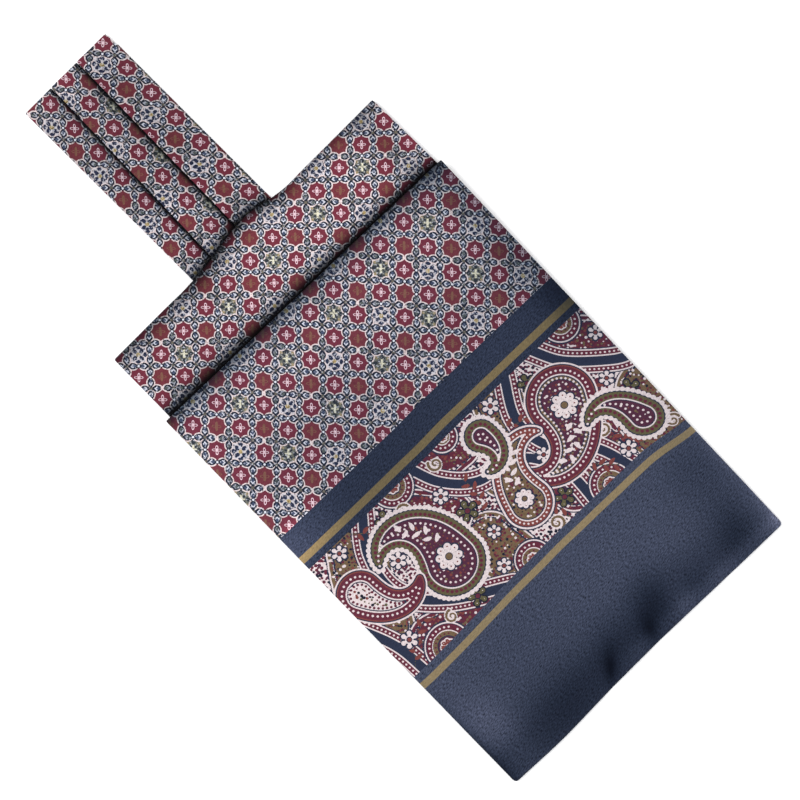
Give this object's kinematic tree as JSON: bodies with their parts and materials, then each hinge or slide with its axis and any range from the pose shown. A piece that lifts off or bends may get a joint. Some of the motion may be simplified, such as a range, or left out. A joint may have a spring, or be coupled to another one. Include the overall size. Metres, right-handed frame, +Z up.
{
  "type": "silk cravat",
  "caption": "Printed silk day cravat folded flat: pleated neckband, a rear blade over its root and a front blade with a bordered hem on top.",
  "frame": {"origin": "on the surface that the cravat lies on, under the middle of its outline", "axes": "+Y along the cravat, from the hem to the neckband's folded end; +X across it, to the right as seen from above with the neckband away from the viewer; +Z up"},
  "size_m": [0.1646, 0.3528, 0.0062],
  "materials": {
    "printed_silk": "printed twill silk with a small medallion repeat, soft sheen",
    "bordered_silk": "printed twill silk, medallion ground with a navy, gold and paisley border, soft sheen",
    "hidden_silk": "printed twill silk, folded out of sight"
  },
  "bodies": {
    "root": {"neckband_right_pleat": "printed_silk", "neckband_centre_pleat": "printed_silk", "neckband_left_pleat": "printed_silk", "neckband_under_half": "printed_silk", "rear_blade": "printed_silk", "front_blade": "bordered_silk", "folded_layers": "hidden_silk"}
  },
  "joints": []
}
